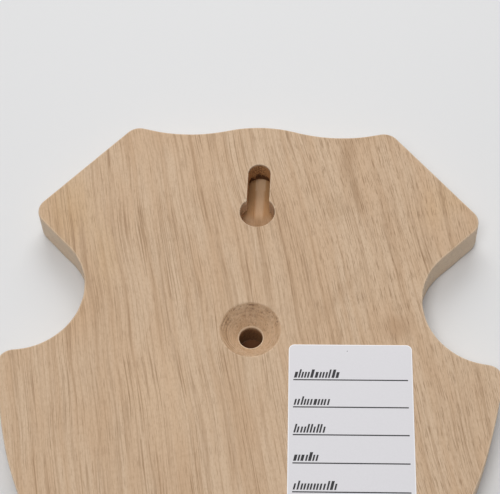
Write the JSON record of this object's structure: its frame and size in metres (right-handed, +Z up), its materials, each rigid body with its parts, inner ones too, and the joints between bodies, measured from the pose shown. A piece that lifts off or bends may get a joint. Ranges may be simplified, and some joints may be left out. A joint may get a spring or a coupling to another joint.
{
  "type": "antler mounting plaque",
  "caption": "Shield-shaped oak wall board for mounting antlers, with a keyhole hanger slot, a countersunk screw hole and a ruled paper record label on the back.",
  "frame": {"origin": "centre of the upper end of the keyhole slot, in the plane of the back face, where the hanging screw sits", "axes": "+Z up along the board's height as it hangs, +Y out of the back face towards the wall, -Y out of the moulded front face"},
  "size_m": [0.132, 0.0155, 0.1781],
  "materials": {
    "oak": "planed and lightly oiled pale oak, matte",
    "label": "smooth white label paper with thin dark ruled lines and strokes"
  },
  "bodies": {
    "root": {"oak_board": "oak", "record_label": "label"}
  },
  "joints": []
}
